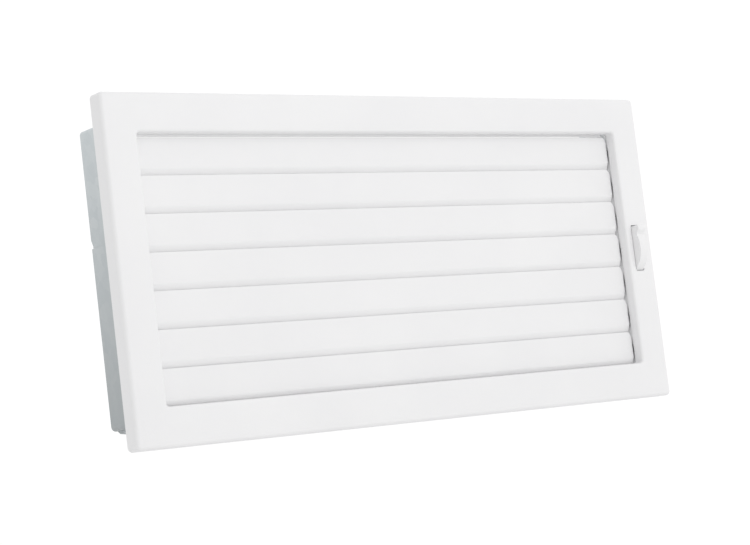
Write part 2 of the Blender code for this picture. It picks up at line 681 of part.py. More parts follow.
clear_scene()
PARTS = collection("louvred_air_grille")
CUTTERS = collection("cutters")
WHITE = material("white powder coat", (0.86, 0.86, 0.865), 0.38, 0.0)
GALVANISED = material("galvanised steel", (0.62, 0.64, 0.66), 0.45, 1.0)
ZINC = material("zinc plated steel", (0.72, 0.73, 0.75), 0.35, 1.0)
SPRING_STEEL = material("spring steel", (0.42, 0.43, 0.45), 0.35, 1.0)

wall_sleeve()
FRONT = add_empty("front_unit", (0.0, 0.0, 0.0))
front_flange()
for hand in (-1, 1):
    side_plate(hand)
    for level in (-1, 1):
        leaf_spring(hand, level)
top_rail()
bottom_rail()
louvre()
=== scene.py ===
"""Looks of the louvred air grille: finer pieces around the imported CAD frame, finishes, light and camera.

The frame: X right, +Y into the wall, Z up, origin at the centre of the grille on the wall plane. Shapes
are drawn in millimetres and MM turns them into the frame's metres. The stage, the light, the camera and
the finishes are in metres.
"""
import json
import math

import bmesh
import bpy
from mathutils import Matrix, Vector

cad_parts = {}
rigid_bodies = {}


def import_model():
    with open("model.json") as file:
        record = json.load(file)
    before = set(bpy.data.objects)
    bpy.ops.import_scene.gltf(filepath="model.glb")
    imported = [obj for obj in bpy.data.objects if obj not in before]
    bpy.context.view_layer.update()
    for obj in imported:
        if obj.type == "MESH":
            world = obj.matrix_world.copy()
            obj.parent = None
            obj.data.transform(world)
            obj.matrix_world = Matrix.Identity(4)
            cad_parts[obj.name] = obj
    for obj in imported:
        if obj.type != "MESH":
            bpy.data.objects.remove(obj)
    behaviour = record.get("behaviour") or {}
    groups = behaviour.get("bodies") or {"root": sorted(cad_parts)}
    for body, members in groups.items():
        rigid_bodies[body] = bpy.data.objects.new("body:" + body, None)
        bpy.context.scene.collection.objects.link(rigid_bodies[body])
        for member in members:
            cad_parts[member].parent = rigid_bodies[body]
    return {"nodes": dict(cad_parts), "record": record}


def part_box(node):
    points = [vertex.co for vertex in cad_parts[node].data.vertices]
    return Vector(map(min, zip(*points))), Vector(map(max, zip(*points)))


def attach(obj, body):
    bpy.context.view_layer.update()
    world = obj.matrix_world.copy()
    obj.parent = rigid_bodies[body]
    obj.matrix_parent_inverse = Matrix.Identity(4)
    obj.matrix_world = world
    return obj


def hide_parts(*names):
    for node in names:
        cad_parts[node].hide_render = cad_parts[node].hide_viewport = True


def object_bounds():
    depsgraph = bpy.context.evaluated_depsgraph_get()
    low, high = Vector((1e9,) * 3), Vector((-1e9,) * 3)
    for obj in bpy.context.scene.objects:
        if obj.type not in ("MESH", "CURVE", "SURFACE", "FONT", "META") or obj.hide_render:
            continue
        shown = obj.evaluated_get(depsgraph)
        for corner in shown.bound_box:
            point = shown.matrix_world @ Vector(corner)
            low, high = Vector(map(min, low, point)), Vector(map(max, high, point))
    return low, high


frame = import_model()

CAD_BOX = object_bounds()
MM = 0.001
MERGE = 0.000002             # metres; vertices closer than this become one
CUT = 1.0                    # how far a cutter runs past the sheet it cuts
CREASE = 40.0                # degrees; sharper edges are rounded
FLAT = 0.5                   # degrees; faces that meet at less than this are one flat face
GAP = 0.3                    # the CAD's clearance between pieces that touch

# Pressed flange
FLANGE_SHEET = 1.0
FLANGE_CORNER_R = 3.2
FLANGE_EDGE_R = 2.8
OPENING = (201.0, 84.7)      # half its width and height
OPENING_CORNER_R = 2.0
OPENING_EDGE_R = 1.8
REVEAL_DEPTH = 8.0
SLOT_X = (206.4, 214.4)
SLOT_Z = (-17.8, 15.8)
SLOT_R = 1.0
FLANGE_SOFT = 0.25           # radius that paint leaves on a cut edge

# Slats, measured from their own pivot
SLAT_SHEET = 0.8
SLAT_END = 200.6             # outer face of the folded end, from the middle of the grille
SIDE_X = 204.3               # inner face of a side plate
SLAT_FACE = -5.6
SLAT_TOP = 11.7
SLAT_CURL_START = -7.0
SLAT_CURL_R = 4.5
SLAT_CURL_TURN = 25.0        # degrees; below this bend the slat runs on straight
SLAT_BOTTOM = -14.3
SLAT_FOLD_R = 1.4
SLAT_CORNER_R = 3.2
TAB_TOP = 8.2
TAB_BACK = 12.0
TAB_BACK_Z = (-10.2, 0.0)
TAB_CORNER_R = 3.0
SLAT_SOFT = 0.2
SLAT_FOLD_REACH = 0.01       # the fold takes in the slat's end as far as this behind its face

# Thumb lever, measured from its pivot; angles in degrees above the horizontal, towards the room
LEVER_R = 20.5
LEVER_BELLY = (24.0, -62.0)
LEVER_INNER_R = 13.5
LEVER_INNER_TOP = 44.0
NIB_CENTER = (18.5, 13.6)
NIB_R = 2.4
NIB_ARC = (90.0, -55.0)
LEVER_TOP_BACK = (10.0, 15.9)
LEVER_NOTCH = (18.4, 9.4)
LEVER_ARM_THICKNESS = 3.6
LEVER_HUB_R = 5.0
HUB_ARC = (75.0, 285.0)
ARM_TIP_ARC = (-40.0, 34.0)
SHAFT_SQUARE = 2.6           # side of the shaft's square end, which keys the hub
LEVER_SOFT = 0.45

# Wall sleeve; its anchors are tongues bent out of its walls
SLEEVE_SHEET = 0.8
SLEEVE_BACK = 38.7
SLEEVE_CORNER_R = 3.0
LAP_Z = (8.0, 20.0)
LAP_RAMP = (21.5, 25.5)
ANCHOR_WIDTH = 12.0
ANCHOR_TIP = (22.0, 3.3)     # along Y, and how far it stands out of the wall
ANCHOR_KNEE = (34.5, 1.9)
ANCHOR_ROOT = (37.4, -0.1)
ANCHOR_LAP = 1.0             # how far the root runs on into the wall
ANCHOR_SLIT = 0.6            # the gap sheared round a tongue
BOTTOM_ANCHOR_X = (-203.0, 203.0)
TOP_ANCHOR_X = (-70.0, 70.0)
SLEEVE_SOFT = 0.15

# Pins, rivets and the link bar; a grip is the length between a pin's two heads
PIN_R = 1.6
HEAD_RIM = 0.3               # height of a head's straight edge, below its dome
HEAD_SOFT = 0.08
STUD_HEAD_R = 2.3
STUD_HEAD_HEIGHT = 0.8
CRANK_PIN_GRIP = 2.7
LAP_RIVET_GRIP = 2.5
SPRING_RIVET_GRIP = 2.4
SPRING_RIVET_R = 1.4
BAR_END_R = 3.4
BAR_SOFT = 0.15

# Pieces that keep the CAD's shape
CARRIER_NODES = ("side_plate_left", "side_plate_right", "top_rail", "bottom_rail", "drive_shaft")
CARRIER_SOFT = 0.18
SPRING_SOFT = 0.1            # leaf springs and the lever's ring

# Finishes: base colours, from the darkest patch to the lightest
PAINT = ((0.865, 0.863, 0.870), (0.888, 0.886, 0.890))
ZINC = ((0.50, 0.535, 0.55), (0.60, 0.63, 0.64))
ZINC_PAINTED_SHADE = (0.79, 1.19)    # painted shade: factor on the zinc's colour at the sleeve's bottom and at its top, darker below and lighter above
ZINC_PAINTED_SHADE_Z = (-0.095, 0.095)
PLATING = ((0.60, 0.61, 0.62), (0.74, 0.745, 0.74))
BLUED = ((0.26, 0.27, 0.30), (0.38, 0.39, 0.42))
PALE = ((0.87, 0.87, 0.87), (0.89, 0.89, 0.89))
MIX_FIRST, MIX_SECOND, MIX_RESULT = 6, 7, 2     # a mix node's colour sockets, by number

# Stage and light
FLOOR_R = 1.8
FLOOR_DROP = 0.24            # from the grille's lower edge to the floor
LAMP_SIZE = (1.6, 1.2)
LAMP_PLACE = (0.5, -1.9, 0.9)
LAMP_WATTS = 7.0
# The surroundings' strength: its low and high values, and where along the axis it goes from one to the other
FROM_LEFT = (0.86, 1.04, (-0.8, 0.35))
FROM_FRONT = (0.875, 1.0, (-0.3, 0.3))
FROM_BELOW = (0.95, 1.0, (-0.7, -0.08))

# The camera, from the photograph's perspective
CAMERA_PLACE = (-0.8445, -1.0762, -0.1333)
CAMERA_FORWARD = (0.6042, 0.7914, 0.0921)
CAMERA_UP = (0.0397, -0.1456, 0.9885)
CAMERA_LENS = 97.99          # millimetres, as is the sensor's width
CAMERA_SENSOR = 36.0
CAMERA_CLIP = 0.05

BEHAVIOUR = frame["record"]["behaviour"]
BODY_OF = {node: body for body, nodes in BEHAVIOUR["bodies"].items() for node in nodes}
SLOT_OF = {part["node"]: part["material_slot"] for part in frame["record"]["subparts"]}
PIVOT_OF = {hinge["child"]: hinge["pos_m"] for hinge in BEHAVIOUR["joints"] if hinge["type"] == "hinge"}


# ---------------------------------------------------------------- scene helpers

def box_mm(node):
    """A CAD node's lowest and highest corners, in millimetres."""
    low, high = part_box(node)
    return Vector(low) / MM, Vector(high) / MM


def pivot_mm(node):
    """The pivot of the body that a CAD node belongs to, in millimetres."""
    return Vector(PIVOT_OF[BODY_OF[node]]) / MM


def box_centre(node):
    """The middle of a CAD node's box, in millimetres."""
    low, high = box_mm(node)
    return (low + high) / 2


def collection(name):
    made = bpy.data.collections.new(name)
    bpy.context.scene.collection.children.link(made)
    return made


PIECES = collection("pieces")
WORKBENCH = collection("workbench")


def add_object(name, data, where):
    obj = bpy.data.objects.new(name, data)
    where.objects.link(obj)
    return obj


def evaluated(obj):
    """The object's mesh with its modifiers applied; the object itself is removed."""
    bpy.context.view_layer.update()
    graph = bpy.context.evaluated_depsgraph_get()
    mesh = bpy.data.meshes.new_from_object(obj.evaluated_get(graph))
    name = obj.name
    bpy.data.batch_remove([obj.data, obj])
    mesh.name = name
    return mesh


def stand_for(node, mesh):
    """Show a finer mesh in a CAD node's place, on the same body and with the same finish."""
    piece = add_object(node + "_piece", mesh, PIECES)
    mesh.materials.clear()
    mesh.materials.append(FINISHES[SLOT_OF[node]])
    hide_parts(node)
    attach(piece, BODY_OF[node])


# ---------------------------------------------------------------- shapes

def to_mesh(bm, name):
    """Turn a bmesh in millimetres into a smooth mesh in metres."""
    bmesh.ops.scale(bm, vec=(MM, MM, MM), verts=bm.verts)
    mesh = bpy.data.meshes.new(name)
    bm.to_mesh(mesh)
    bm.free()
    mesh.shade_smooth()
    return mesh


def softened(mesh, radius, segments=2):
    """Round every sharp edge of a mesh, as paint, plating or a worn die leaves it."""
    mesh.shade_smooth()
    obj = add_object(mesh.name, mesh, WORKBENCH)
    bevel = obj.modifiers.new("Edges", "BEVEL")
    bevel.width = radius * MM
    bevel.segments = segments
    bevel.limit_method = "ANGLE"
    bevel.angle_limit = math.radians(CREASE)
    bevel.harden_normals = True
    return evaluated(obj)


def arc(center, radius, start, end, steps):
    """Points on an arc, both ends included; angles are in degrees."""
    points = []
    for i in range(steps + 1):
        angle = math.radians(start + (end - start) * i / steps)
        points.append((center[0] + radius * math.cos(angle), center[1] + radius * math.sin(angle)))
    return points


def round_corners(points, radius, steps=6):
    """Replace each corner of a closed outline by an arc of the given radius."""
    rounded = []
    for i, point in enumerate(points):
        corner = Vector(point)
        before = (Vector(points[i - 1]) - corner).normalized()
        after = (Vector(points[(i + 1) % len(points)]) - corner).normalized()
        half = before.angle(after) / 2
        reach = radius / math.tan(half)
        center = corner + (before + after).normalized() * (radius / math.sin(half))
        start = corner + before * reach - center
        end = corner + after * reach - center
        for k in range(steps + 1):
            rounded.append(tuple(center + start.slerp(end, k / steps).normalized() * radius))
    return rounded


def rectangle(u, v):
    """The corners of a rectangle that reaches from u[0] to u[1] and from v[0] to v[1]."""
    return [(u[0], v[0]), (u[1], v[0]), (u[1], v[1]), (u[0], v[1])]


def circle(center, radius, steps=32):
    return arc(center, radius, 0.0, 360.0, steps)[:-1]


def plane_axes(plane):
    """The two axes of a plane and the axis across it, as unit vectors."""
    across = {"XZ": "Y", "YZ": "X"}[plane]
    return tuple(Vector([float(a == b) for b in "XYZ"]) for a in plane + across)


def plate(name, outlines, plane, span):
    """A flat plate in the given plane, reaching across span: the first outline less the others."""
    u_axis, v_axis, w_axis = plane_axes(plane)
    curve = bpy.data.curves.new(name, "CURVE")
    curve.dimensions = "2D"
    curve.fill_mode = "BOTH"
    curve.extrude = (span[1] - span[0]) / 2 * MM
    for outline in outlines:
        spline = curve.splines.new("POLY")
        spline.points.add(len(outline) - 1)
        for point, (u, v) in zip(spline.points, outline):
            point.co = (u * MM, v * MM, 0.0, 1.0)
        spline.use_cyclic_u = True
    mesh = evaluated(add_object(name, curve, WORKBENCH))
    bm = bmesh.new()
    bm.from_mesh(mesh)
    bmesh.ops.remove_doubles(bm, verts=bm.verts, dist=MERGE)
    join_flat_faces(bm)
    turn = Matrix((u_axis, v_axis, u_axis.cross(v_axis))).transposed()
    bmesh.ops.rotate(bm, cent=(0, 0, 0), matrix=turn, verts=bm.verts)
    middle = (span[0] + span[1]) / 2 * MM
    bmesh.ops.translate(bm, vec=w_axis * middle, verts=bm.verts)
    bm.to_mesh(mesh)
    bm.free()
    return mesh


def join_flat_faces(bm):
    """Merge the triangles of each flat face."""
    bmesh.ops.dissolve_limit(bm, angle_limit=math.radians(FLAT), verts=bm.verts, edges=bm.edges)


def edges_along(bm, points):
    """Edges joining points to each other in turn."""
    verts = [bm.verts.new(point) for point in points]
    return [bm.edges.new(pair) for pair in zip(verts, verts[1:])]


def extrude(bm, edges, along=(0.0, 0.0, 0.0)):
    """Extrude edges along a vector; returns the new vertices."""
    made = bmesh.ops.extrude_edge_only(bm, edges=edges)["geom"]
    verts = [item for item in made if isinstance(item, bmesh.types.BMVert)]
    bmesh.ops.translate(bm, vec=along, verts=verts)
    return verts


def thicken(obj, thickness):
    """Give a surface its sheet thickness, behind the face it was drawn with."""
    solid = obj.modifiers.new("Sheet", "SOLIDIFY")
    solid.thickness = thickness * MM
    solid.offset = -1.0
    solid.use_even_offset = True


def bent_sheet(name, path, plane, span, thickness):
    """A sheet bent along an open path in the given plane, reaching across span.

    The path runs with the sheet's outer face on its left; the thickness is added on its right.
    """
    u_axis, v_axis, w_axis = plane_axes(plane)
    bm = bmesh.new()
    edges = edges_along(bm, [u_axis * u + v_axis * v + w_axis * span[0] for u, v in path])
    extrude(bm, edges, w_axis * (span[1] - span[0]))
    bm.normal_update()
    (u0, v0), (u1, v1) = path[:2]
    outside = u_axis * (v0 - v1) + v_axis * (u1 - u0)
    if edges[0].link_faces[0].normal.dot(outside) < 0:
        bmesh.ops.reverse_faces(bm, faces=bm.faces)
    obj = add_object(name, to_mesh(bm, name), WORKBENCH)
    thicken(obj, thickness)
    return evaluated(obj)


def box_mesh(name, x, y, z):
    """A box between the two values given along each axis."""
    bm = bmesh.new()
    bmesh.ops.create_cube(bm, size=1.0)
    low = Vector((min(x), min(y), min(z)))
    high = Vector((max(x), max(y), max(z)))
    bmesh.ops.scale(bm, vec=high - low, verts=bm.verts)
    bmesh.ops.translate(bm, vec=(low + high) / 2, verts=bm.verts)
    return to_mesh(bm, name)


def turned(name, profile, steps=32):
    """A round piece turned about X: profile points (radius, x), from its far end back."""
    bm = bmesh.new()
    edges_along(bm, [(radius, 0.0, x) for radius, x in profile])
    obj = add_object(name, to_mesh(bm, name), WORKBENCH)
    screw = obj.modifiers.new("Turn", "SCREW")
    screw.axis = "Z"
    screw.steps = steps
    screw.render_steps = steps
    screw.use_merge_vertices = True
    screw.merge_threshold = MERGE
    mesh = evaluated(obj)
    mesh.transform(Matrix.Rotation(math.radians(90), 4, "Y"))
    return mesh


def combine(base, operation, tools):
    """Union or difference of meshes."""
    obj = add_object(base.name, base, WORKBENCH)
    tool_objects = [add_object(tool.name + "_tool", tool, WORKBENCH) for tool in tools]
    for tool in tool_objects:
        step = obj.modifiers.new(operation.title(), "BOOLEAN")
        step.operation = operation
        step.solver = "EXACT"
        step.object = tool
    mesh = evaluated(obj)
    for tool in tool_objects:
        bpy.data.batch_remove([tool.data, tool])
    return mesh


def moved(mesh, place_mm, half_turn=False):
    """A copy of a mesh, moved into place and, if asked, turned half round about Z first."""
    copy = mesh.copy()
    if half_turn:
        copy.transform(Matrix.Rotation(math.pi, 4, "Z"))
    copy.transform(Matrix.Translation(Vector(place_mm) * MM))
    return copy


# ---------------------------------------------------------------- finishes

def feed(tree, node, inputs):
    """Give a node its inputs by name or number: a value, or a socket to link."""
    for key, value in inputs.items():
        if isinstance(value, bpy.types.NodeSocket):
            tree.links.new(value, node.inputs[key])
        else:
            node.inputs[key].default_value = value


def node_of(tree, kind, inputs=None, **settings):
    """Add a shader node with its settings and inputs."""
    node = tree.nodes.new(kind)
    for key, value in settings.items():
        setattr(node, key, value)
    feed(tree, node, inputs or {})
    return node


def new_finish(name, metallic):
    """A Principled material; returns it, its node tree, its shader and its place coordinates."""
    made = bpy.data.materials.new(name)
    made.use_nodes = True
    tree = made.node_tree
    shader = tree.nodes["Principled BSDF"]
    shader.inputs["Metallic"].default_value = metallic
    place = node_of(tree, "ShaderNodeTexCoord").outputs["Object"]
    return made, tree, shader, place


def noise(tree, place, scale, detail=2.0, stretch=None):
    """Noise of the given scale per metre; an axis stretched by less than 1 gets longer marks."""
    if stretch:
        place = node_of(tree, "ShaderNodeMapping", {"Vector": place, "Scale": stretch}).outputs["Vector"]
    inputs = {"Vector": place, "Scale": scale, "Detail": detail}
    return node_of(tree, "ShaderNodeTexNoise", inputs).outputs["Fac"]


def spread(tree, value, low, high, source=(0.3, 0.7)):
    """Map a value from its source range, by default that of a noise, onto the range from low to high."""
    inputs = {"Value": value, "From Min": source[0], "From Max": source[1], "To Min": low, "To Max": high}
    return node_of(tree, "ShaderNodeMapRange", inputs).outputs["Result"]


def product(tree, first, second):
    return node_of(tree, "ShaderNodeMath", {0: first, 1: second}, operation="MULTIPLY").outputs[0]


def blend(tree, factor, colours):
    """Colour from the first to the second as the factor goes from 0 to 1."""
    inputs = {"Factor": factor, MIX_FIRST: (*colours[0], 1.0), MIX_SECOND: (*colours[1], 1.0)}
    return node_of(tree, "ShaderNodeMix", inputs, data_type="RGBA").outputs[MIX_RESULT]


def bump(tree, height, distance, below=None):
    """Relief of the given height in metres, on top of another relief if given."""
    inputs = {"Height": height, "Distance": distance, "Strength": 1.0}
    if below:
        inputs["Normal"] = below
    return node_of(tree, "ShaderNodeBump", inputs).outputs["Normal"]


def powder_coat():
    """Satin white powder: fine orange peel over a slightly uneven sheet."""
    made, tree, shader, place = new_finish("white powder coat", metallic=0.0)
    patches = spread(tree, noise(tree, place, scale=14.0, detail=3.0), 0.0, 1.0)
    gloss = noise(tree, place, scale=90.0, detail=4.0)
    sheet = bump(tree, noise(tree, place, scale=22.0, detail=1.0), distance=0.00006)
    peel = bump(tree, noise(tree, place, scale=650.0), distance=0.000025, below=sheet)
    feed(tree, shader, {"Base Color": blend(tree, patches, PAINT),
                        "Roughness": spread(tree, gloss, 0.36, 0.46),
                        "Normal": peel})
    return made


def galvanised():
    """Hot-dip zinc: flat crystals of slightly different grey, faintly streaked, with painted shade that
    darkens it lower down and lightens it higher up.
    """
    made, tree, shader, place = new_finish("galvanised steel", metallic=1.0)
    cell = zinc_crystals(tree, place)
    streaks = noise(tree, place, scale=50.0, detail=4.0, stretch=(1.0, 1.0, 0.25))
    mottle = node_of(tree, "ShaderNodeMath", {0: cell, 1: streaks}, operation="ADD").outputs[0]
    zinc = blend(tree, spread(tree, mottle, 0.0, 1.0, source=(0.3, 1.6)), ZINC)
    # painted shade: the zinc's colour is scaled down towards the sleeve's bottom and up towards its top
    height = node_of(tree, "ShaderNodeSeparateXYZ", {"Vector": place}).outputs["Z"]
    painted_shade = spread(tree, height, *ZINC_PAINTED_SHADE, source=ZINC_PAINTED_SHADE_Z)
    shaded_zinc = node_of(tree, "ShaderNodeVectorMath", {0: zinc, "Scale": painted_shade}, operation="SCALE")
    grain = bump(tree, noise(tree, place, scale=900.0, detail=3.0), distance=0.00001)
    feed(tree, shader, {"Base Color": shaded_zinc.outputs[0],
                        "Roughness": spread(tree, cell, 0.42, 0.56, source=(0.0, 1.0)),
                        "Normal": bump(tree, cell, distance=0.000008, below=grain)})
    return made


def zinc_crystals(tree, place):
    """A value of its own for each crystal, about 7 mm across with warped edges."""
    inputs = {"Vector": place, "Scale": 60.0, "Detail": 3.0}
    warp = node_of(tree, "ShaderNodeTexNoise", inputs).outputs["Color"]
    bend = node_of(tree, "ShaderNodeVectorMath", {0: warp, 1: (0.012, 0.012, 0.012)}, operation="MULTIPLY")
    bent = node_of(tree, "ShaderNodeVectorMath", {0: place, 1: bend.outputs[0]}, operation="ADD")
    crystals = node_of(tree, "ShaderNodeTexVoronoi", {"Vector": bent.outputs[0], "Scale": 150.0})
    return node_of(tree, "ShaderNodeSeparateColor", {"Color": crystals.outputs["Color"]}).outputs["Red"]


def brushed(name, colours, roughness, stretch):
    """Plated or blued steel with fine drawing marks."""
    made, tree, shader, place = new_finish(name, metallic=1.0)
    marks = noise(tree, place, scale=1400.0, detail=3.0, stretch=stretch)
    clouds = noise(tree, place, scale=120.0, detail=3.0)
    feed(tree, shader, {"Base Color": blend(tree, spread(tree, clouds, 0.0, 1.0), colours),
                        "Roughness": spread(tree, marks, *roughness),
                        "Normal": bump(tree, marks, distance=0.000012)})
    return made


FINISHES = {
    "white_powder_coat": powder_coat(),
    "galvanised_steel": galvanised(),
    "zinc_plated_steel": brushed("zinc plated steel", PLATING, (0.25, 0.40), (0.1, 1.0, 1.0)),
    "spring_steel": brushed("spring steel", BLUED, (0.27, 0.42), (1.0, 0.15, 1.0)),
}


# ---------------------------------------------------------------- front flange

def outline_loop(bm, front, half_width, half_height, radius):
    """A closed loop of edges in the flange's face, with rounded corners."""
    corners = rectangle((-half_width, half_width), (-half_height, half_height))
    outline = round_corners(corners, radius, steps=8)
    verts = [bm.verts.new((x, front, z)) for x, z in outline]
    return [bm.edges.new((verts[i - 1], verts[i])) for i in range(len(verts))]


def fold_back(bm, edges, depth, bend_radius):
    """Extend the face backwards from a loop of its edges and round the bend."""
    extrude(bm, edges, (0.0, depth, 0.0))
    bmesh.ops.bevel(bm, geom=edges, offset=bend_radius, segments=8, profile=0.5, affect="EDGES")


def front_flange():
    """Pressed face with its returned rim, its reveal and the lever slot, all edges rounded."""
    low, high = box_mm("front_flange")
    bm = bmesh.new()
    outer = outline_loop(bm, low.y, high.x, high.z, FLANGE_CORNER_R)
    opening = outline_loop(bm, low.y, *OPENING, OPENING_CORNER_R)
    bmesh.ops.bridge_loops(bm, edges=outer + opening)
    fold_back(bm, outer, high.y - low.y, FLANGE_EDGE_R)
    fold_back(bm, opening, REVEAL_DEPTH, OPENING_EDGE_R)
    bmesh.ops.recalc_face_normals(bm, faces=bm.faces)
    face_forward(bm)
    obj = add_object("front_flange_piece", to_mesh(bm, "front_flange_piece"), WORKBENCH)
    thicken(obj, FLANGE_SHEET)
    slot = round_corners(rectangle(SLOT_X, SLOT_Z), SLOT_R)
    tool = plate("slot", [slot], "XZ", (low.y - CUT, low.y + FLANGE_SHEET + CUT))
    return softened(combine(evaluated(obj), "DIFFERENCE", [tool]), FLANGE_SOFT)


def face_forward(bm):
    """Turn the faces so that the widest one looks out of the wall."""
    bm.normal_update()
    widest = max(bm.faces, key=lambda face: face.calc_area())
    if widest.normal.y > 0:
        bmesh.ops.reverse_faces(bm, faces=bm.faces)


# ---------------------------------------------------------------- louvre

def slat_section():
    """A slat's outer face in section, from its top edge down: flat, then bent in along the lower edge."""
    center = (SLAT_FACE + SLAT_CURL_R, SLAT_CURL_START)
    bend = arc(center, SLAT_CURL_R, 180.0, 180.0 + SLAT_CURL_TURN, steps=10)
    y, z = bend[-1]
    bottom_y = y + (z - SLAT_BOTTOM) * math.tan(math.radians(SLAT_CURL_TURN))
    return [(SLAT_FACE, SLAT_TOP), (SLAT_FACE, TAB_TOP)] + bend + [(bottom_y, SLAT_BOTTOM)]


def fold_tab(bm, fold, fold_x):
    """Fold a slat's end back and run it on as a tapered tab; returns the tab's two back corners."""
    spun = bmesh.ops.spin(bm, geom=fold, cent=(fold_x, SLAT_FACE + SLAT_FOLD_R, 0.0), axis=(0, 0, 1),
                          angle=math.radians(90), steps=8, use_duplicate=False)["geom_last"]
    last = [item for item in spun if isinstance(item, bmesh.types.BMEdge)]
    # the upper vertex stays at the fold, so that the tab's top edge slopes down from it
    corners = sorted(extrude(bm, last), key=lambda vert: vert.co.z)[:len(TAB_BACK_Z)]
    for corner, z in zip(corners, TAB_BACK_Z):
        corner.co.y = TAB_BACK
        corner.co.z = z
    return corners


def slat():
    """One slat about its pivot: flat face, bent lower edge, ends folded back into tabs with two holes."""
    low, high = box_mm("slat_1")
    crank = box_centre("crank_pin_1") - pivot_mm("crank_pin_1")
    fold_x = high.x - SLAT_FOLD_R
    bm = bmesh.new()
    middle = edges_along(bm, [(0.0, y, z) for y, z in slat_section()])
    end = extrude(bm, middle, (fold_x, 0.0, 0.0))
    top = max(end, key=lambda vert: vert.co.z)
    bottom = min(end, key=lambda vert: vert.co.z)
    flat_end = {vert for vert in end if vert.co.y < SLAT_FACE + SLAT_FOLD_REACH and vert is not top}
    fold = [edge for edge in bm.edges if all(vert in flat_end for vert in edge.verts)]
    tab_corners = fold_tab(bm, fold, fold_x)
    rounded = [(top, SLAT_CORNER_R), (bottom, SLAT_CORNER_R)]
    rounded += [(vert, TAB_CORNER_R) for vert in tab_corners]
    for corner, radius in rounded:
        bmesh.ops.bevel(bm, geom=[corner], offset=radius, segments=6, profile=0.5, affect="VERTICES")
    bmesh.ops.recalc_face_normals(bm, faces=bm.faces)
    face_forward(bm)
    obj = add_object("slat", to_mesh(bm, "slat"), WORKBENCH)
    mirror = obj.modifiers.new("Other half", "MIRROR")
    mirror.merge_threshold = MERGE
    thicken(obj, SLAT_SHEET)
    through = (low.x - CUT, high.x + CUT)
    holes = [plate("pivot_hole", [circle((0.0, 0.0), PIN_R + GAP)], "YZ", through),
             plate("crank_hole", [circle((crank.y, crank.z), PIN_R + GAP)], "YZ", through)]
    return softened(combine(evaluated(obj), "DIFFERENCE", holes), SLAT_SOFT)


def dome(radius, inner_x, outer_x):
    """Half the section of a domed head, from its tip at outer_x to its rim's edge at inner_x."""
    side = math.copysign(1.0, outer_x - inner_x)
    rim = inner_x + side * HEAD_RIM
    height = abs(outer_x - rim)
    points = [(radius * math.sin(math.radians(a)), rim + side * height * math.cos(math.radians(a)))
              for a in range(0, 91, 15)]
    return points + [(radius, inner_x)]


def domed_pin(node, shank_r, grip):
    """A pin along X with a domed head at each end of its grip."""
    low, high = box_mm(node)
    middle = (low.x + high.x) / 2
    head_r = (high.z - low.z) / 2
    near = dome(head_r, middle - grip / 2, low.x)
    far = dome(head_r, middle + grip / 2, high.x)
    profile = far + [(shank_r, middle + grip / 2), (shank_r, middle - grip / 2)] + near[::-1]
    centre = box_centre(node)
    return moved(softened(turned(node, profile), HEAD_SOFT), (0.0, centre.y, centre.z))


def pivot_stud(node):
    """A pivot stud: domed heads on a shank that carries a collar between slat and side plate."""
    low, high = box_mm(node)
    inner, outer = sorted((abs(low.x), abs(high.x)))
    shank = (inner + STUD_HEAD_HEIGHT, outer - STUD_HEAD_HEIGHT)
    collar = (SLAT_END + GAP, SIDE_X - GAP)
    collar_r = (high.z - low.z) / 2
    profile = dome(STUD_HEAD_R, shank[1], outer)
    profile += [(PIN_R, shank[1]), (PIN_R, collar[1]), (collar_r, collar[1]),
                (collar_r, collar[0]), (PIN_R, collar[0]), (PIN_R, shank[0])]
    profile += dome(STUD_HEAD_R, shank[0], inner)[::-1]
    centre = box_centre(node)
    mesh = softened(turned(node, profile), HEAD_SOFT)
    return moved(mesh, (0.0, centre.y, centre.z), half_turn=low.x < 0)


def link_bar():
    """Flat plated bar with rounded ends and a hole for each crank pin."""
    low, high = box_mm("link_bar")
    outline = round_corners(rectangle((low.y, high.y), (low.z, high.z)), BAR_END_R, steps=10)
    pins = [box_centre(node) for node in SLOT_OF if node.startswith("crank_pin")]
    holes = [circle((pin.y, pin.z), PIN_R + GAP) for pin in pins]
    return softened(plate("link_bar", [outline] + holes, "YZ", (low.x, high.x)), BAR_SOFT)


def thumb_lever():
    """A thick rounded thumb piece with a nib, on a thinner arm with a keyed hub."""
    low, high = box_mm("thumb_lever")
    nib = arc(NIB_CENTER, NIB_R, *NIB_ARC, steps=18)
    belly = arc((0.0, 0.0), LEVER_R, *LEVER_BELLY, steps=30)
    inner = arc((0.0, 0.0), LEVER_INNER_R, LEVER_BELLY[1], LEVER_INNER_TOP, steps=20)
    outline = nib + [LEVER_NOTCH] + belly + inner + [LEVER_TOP_BACK]
    thumb = plate("lever_thumb", [[(-forward, z) for forward, z in outline]], "YZ", (low.x, high.x))
    outline = arc((0.0, 0.0), LEVER_HUB_R, *HUB_ARC, steps=20)
    outline += arc((0.0, 0.0), (LEVER_INNER_R + LEVER_R) / 2, *ARM_TIP_ARC, steps=10)
    key = SHAFT_SQUARE / 2 + GAP
    arm_outlines = [[(-forward, z) for forward, z in outline], rectangle((-key, key), (-key, key))]
    arm = plate("lever_arm", arm_outlines, "YZ", (low.x, low.x + LEVER_ARM_THICKNESS))
    mesh = softened(combine(thumb, "UNION", [arm]), LEVER_SOFT, segments=4)
    pivot = pivot_mm("thumb_lever")
    return moved(mesh, (0.0, pivot.y, pivot.z))


# ---------------------------------------------------------------- wall sleeve

def anchor_tab(x, side, half_height):
    """A tongue bent out of a wall, its free end forward; side is -1 for the bottom wall, 1 for the top."""
    points = (ANCHOR_ROOT, ANCHOR_KNEE, ANCHOR_TIP)
    path = [(y, side * (half_height + out)) for y, out in points][::-side]
    across = (x - ANCHOR_WIDTH / 2, x + ANCHOR_WIDTH / 2)
    return bent_sheet("anchor_tab", path, "YZ", across, SLEEVE_SHEET)


